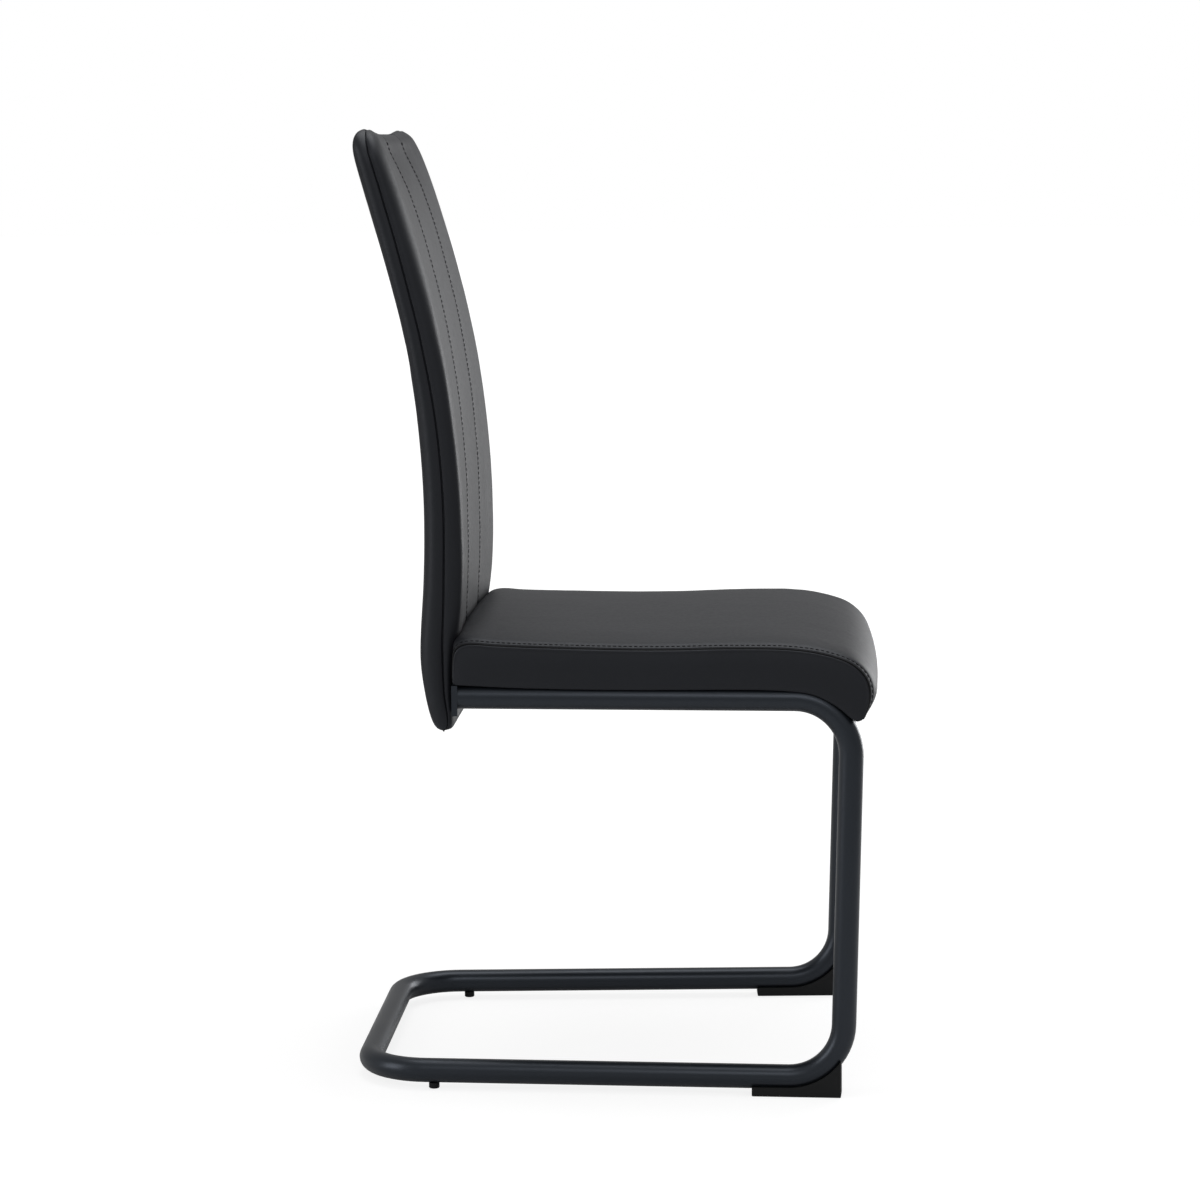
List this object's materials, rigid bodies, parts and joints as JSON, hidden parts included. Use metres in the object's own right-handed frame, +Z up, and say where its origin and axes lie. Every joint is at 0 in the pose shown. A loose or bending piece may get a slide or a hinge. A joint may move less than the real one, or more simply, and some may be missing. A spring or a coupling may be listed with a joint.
{
  "type": "cantilever dining chair",
  "caption": "High-back upholstered dining chair on a bent round tube frame that carries the seat from the front legs only.",
  "frame": {"origin": "on the floor under the middle of the chair's bounding box", "axes": "+Z up, the sitter faces -Y, +X to the sitter's left; the chair is symmetric about the YZ plane"},
  "size_m": [0.483, 0.5462, 0.9833],
  "materials": {
    "frame_paint": "matte black powder coat on steel",
    "foot_plastic": "moulded black polyamide",
    "zinc_steel": "zinc plated",
    "plywood": "raw moulded plywood",
    "foam": "cut polyurethane foam",
    "upholstery": "satin black coated faux leather with a fine grain",
    "dust_cloth": "black non-woven"
  },
  "bodies": {
    "root": {"tube_frame": "frame_paint", "rear_angle": "frame_paint", "front_crossbar": "frame_paint", "front_foot_left": "foot_plastic", "front_foot_right": "foot_plastic", "front_foot_screws": "zinc_steel", "rear_glide_left": "foot_plastic", "rear_glide_right": "foot_plastic", "seat_board": "plywood", "seat_foam": "foam", "seat_cover_top": "upholstery", "seat_cover_left": "upholstery", "seat_cover_right": "upholstery", "seat_dust_cover": "dust_cloth", "seat_bolts": "zinc_steel", "seat_washers": "zinc_steel", "seat_tee_nuts": "zinc_steel", "back_shell": "plywood", "back_foam": "foam", "back_rear_padding": "foam", "back_cover_centre": "upholstery", "back_cover_left": "upholstery", "back_cover_right": "upholstery", "back_cover_rear": "upholstery", "back_bolts": "zinc_steel", "back_washers": "zinc_steel", "back_tee_nuts": "zinc_steel"}
  },
  "joints": []
}
